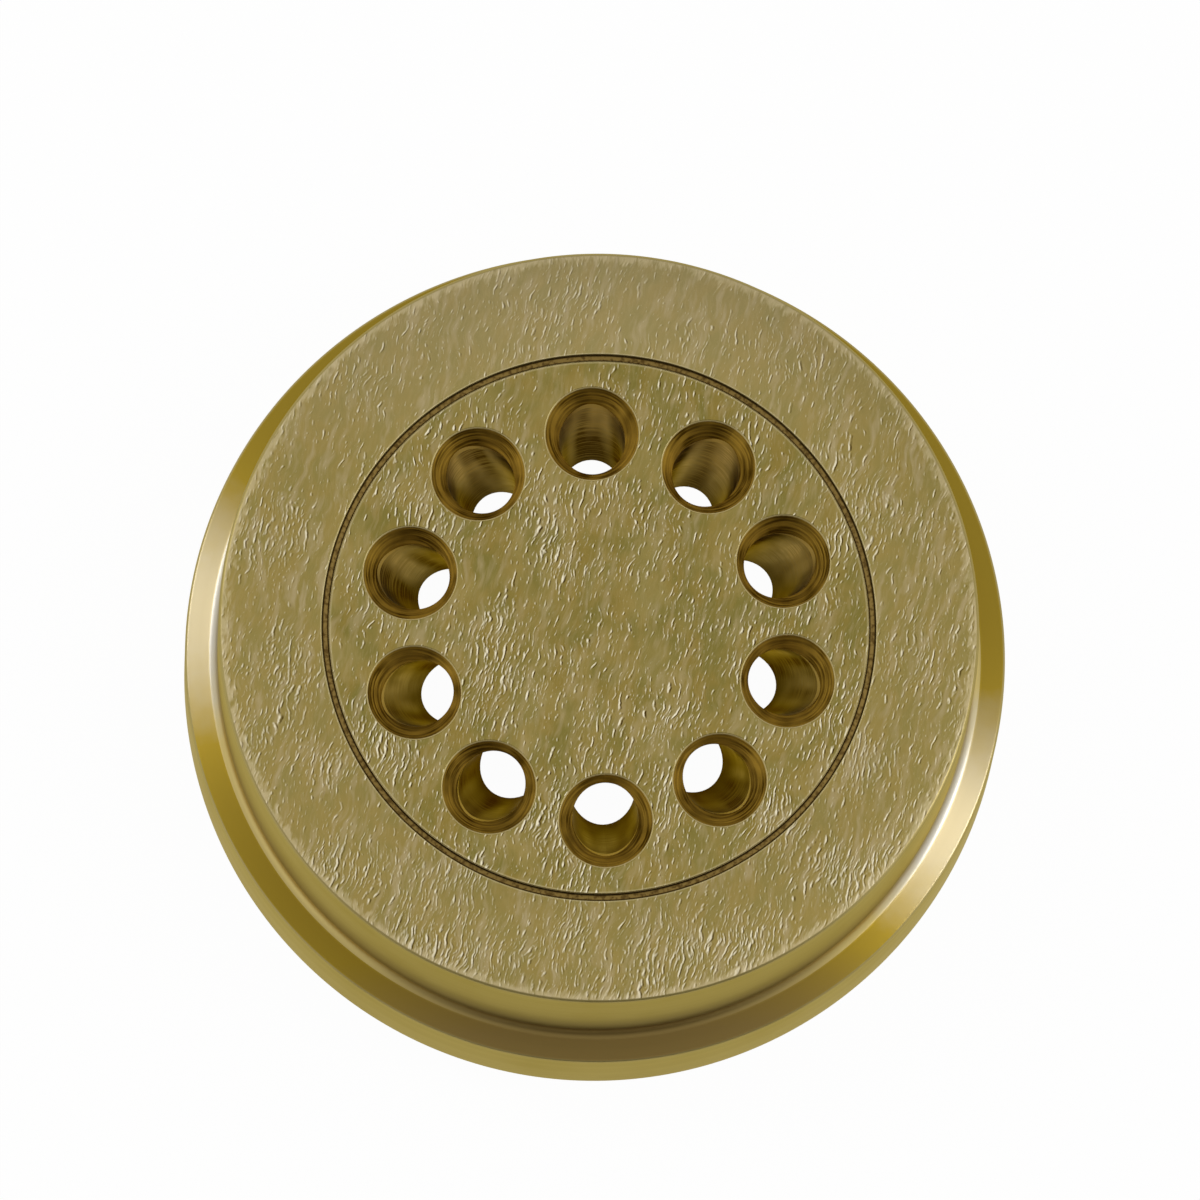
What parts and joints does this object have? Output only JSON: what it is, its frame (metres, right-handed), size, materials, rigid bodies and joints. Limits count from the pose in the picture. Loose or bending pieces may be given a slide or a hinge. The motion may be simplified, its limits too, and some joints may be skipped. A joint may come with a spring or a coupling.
{
  "type": "pasta extrusion die",
  "caption": "Turned brass pasta die: flanged round body with a drilled plate let flush into its face, countersunk dough holes on a circle, open recess behind.",
  "frame": {"origin": "centre of the foot, on the die's axis", "axes": "+Z along the die's axis towards the drilled face, +Y towards the first hole"},
  "size_m": [0.0672, 0.0672, 0.0245],
  "materials": {
    "body_brass": "turned and polished walls, lapped face",
    "plate_brass": "lapped face, drilled holes"
  },
  "bodies": {
    "root": {"die_body": "body_brass", "hole_plate": "plate_brass"}
  },
  "joints": []
}
